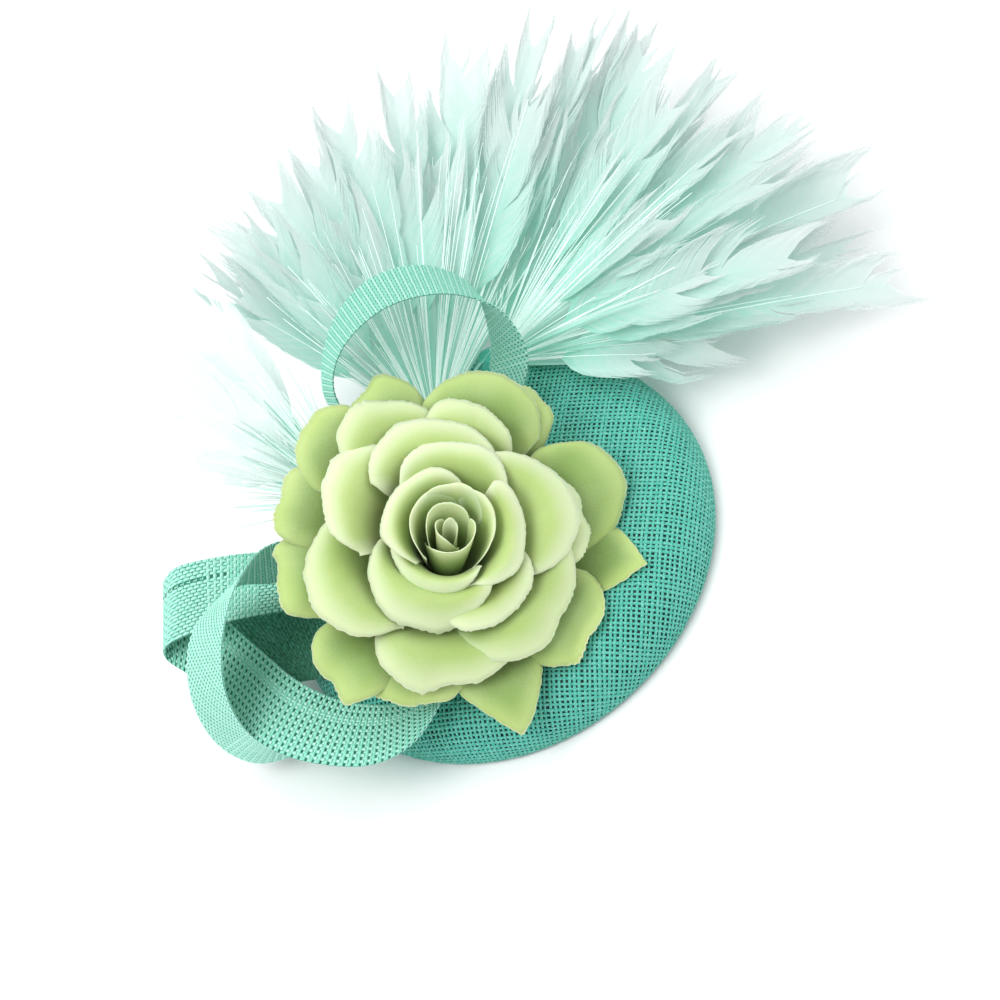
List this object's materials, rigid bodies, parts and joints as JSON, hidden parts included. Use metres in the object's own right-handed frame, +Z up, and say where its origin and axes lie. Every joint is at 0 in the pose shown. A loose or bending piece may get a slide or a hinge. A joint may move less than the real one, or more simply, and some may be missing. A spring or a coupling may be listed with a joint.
{
  "type": "fascinator headpiece",
  "caption": "Blocked woven cap with a cloth rose, ribbon loops and a fan of plumes, held in the hair by sprung clips.",
  "frame": {"origin": "centre of the plane that the cap's rim rests on", "axes": "+Z up the cap's axis, -Y towards the wearer's face, +X towards the wearer's left, where the long plumes point"},
  "size_m": [0.3331, 0.2533, 0.1146],
  "materials": {
    "sinamay": "open plain weave of stiffened fibre",
    "buckram": "stiff blocked form",
    "wire": "millinery wire",
    "band": "ribbed band",
    "lining": "thin plain lining",
    "felt": "felt",
    "thread": "sewing thread",
    "clip_steel": "plated spring steel",
    "hub": "moulded",
    "petal": "pressed cloth with lighter cut edges",
    "ribbon": "open woven ribbon",
    "plume": "soft feather"
  },
  "bodies": {
    "cap": {"arch_loop": "ribbon", "back_binding": "thread", "back_loop": "ribbon", "back_plumes": "plume", "base_shell": "buckram", "bud_petals": "petal", "cup_petals": "petal", "front_loop": "ribbon", "inner_band": "band", "inner_petals": "petal", "left_binding": "thread", "left_clip_base": "clip_steel", "left_clip_pad": "felt", "left_clip_pin": "clip_steel", "left_clip_spring": "clip_steel", "left_clip_stitches": "thread", "left_plumes": "plume", "lining": "lining", "middle_petals": "petal", "outer_petals": "petal", "right_clip_base": "clip_steel", "right_clip_pad": "felt", "right_clip_pin": "clip_steel", "right_clip_spring": "clip_steel", "right_clip_stitches": "thread", "right_plumes": "plume", "rim_wire": "wire", "rose_backing": "felt", "rose_hub": "hub", "side_binding": "thread", "side_plumes": "plume", "sinamay_cover": "sinamay", "spikes": "plume", "wide_petals": "petal"},
    "left_jaw": {"left_clip_jaw": "clip_steel"},
    "right_jaw": {"right_clip_jaw": "clip_steel"}
  },
  "joints": [
    {"name": "left_clip_hinge", "type": "hinge", "parent": "cap", "child": "left_jaw", "pos_m": [-0.038, -0.0075, 0.0171], "axis": [-1, 0, 0], "range_deg": [0, 28], "stiffness_Nm_per_rad": 0.08, "springref_deg": -22.92, "deforming": ["left_clip_spring"]},
    {"name": "right_clip_hinge", "type": "hinge", "parent": "cap", "child": "right_jaw", "pos_m": [0.038, -0.0075, 0.0171], "axis": [-1, 0, 0], "range_deg": [0, 28], "stiffness_Nm_per_rad": 0.08, "springref_deg": -22.92, "deforming": ["right_clip_spring"]}
  ]
}
